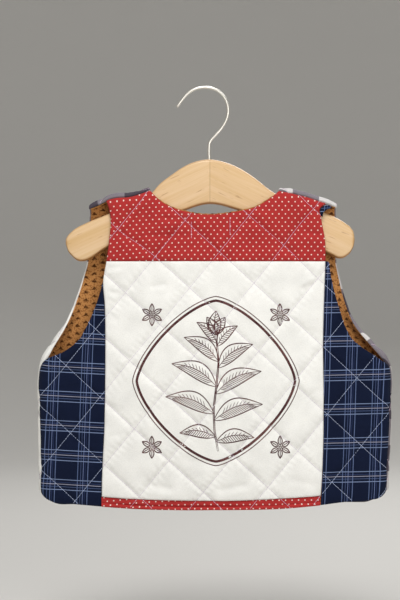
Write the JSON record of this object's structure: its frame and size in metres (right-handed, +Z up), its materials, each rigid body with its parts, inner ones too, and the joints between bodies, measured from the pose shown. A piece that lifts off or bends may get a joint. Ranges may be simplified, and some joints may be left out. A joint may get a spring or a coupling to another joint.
{
  "type": "quilted vest on a wooden hanger",
  "caption": "Toddler's quilted patchwork vest hung back outwards on a child's wooden hanger with a round wire hook.",
  "frame": {"origin": "inside of the hook's crown, where a rail or peg carries the hanger", "axes": "+Z up, +X to the right of someone who faces the vest's back, +Y towards the vest's front"},
  "size_m": [0.3589, 0.0446, 0.4272],
  "materials": {
    "red_pin_dot": "matt red cotton with small cream dots, quilted",
    "cream_canvas": "matt off-white cotton canvas, quilted",
    "navy_plaid": "matt navy cotton with a pale blue line check, quilted",
    "grey_check": "matt cotton in a large white, grey and plum check, quilted",
    "tan_lining": "matt tan cotton with small dark brown marks",
    "beech": "clear lacquered beech with fine grain",
    "steel_wire": "bright zinc plated round wire"
  },
  "bodies": {
    "root": {"back_yoke": "red_pin_dot", "back_centre": "cream_canvas", "back_hem_band": "red_pin_dot", "back_side_left": "navy_plaid", "back_side_right": "navy_plaid", "shoulder_patch_right": "navy_plaid", "front_left_yoke": "grey_check", "front_left_panel": "cream_canvas", "front_right_panel": "grey_check", "lining_back": "tan_lining", "lining_front_left": "tan_lining", "lining_front_right": "tan_lining", "hanger_wood": "beech", "hanger_hook": "steel_wire"}
  },
  "joints": []
}
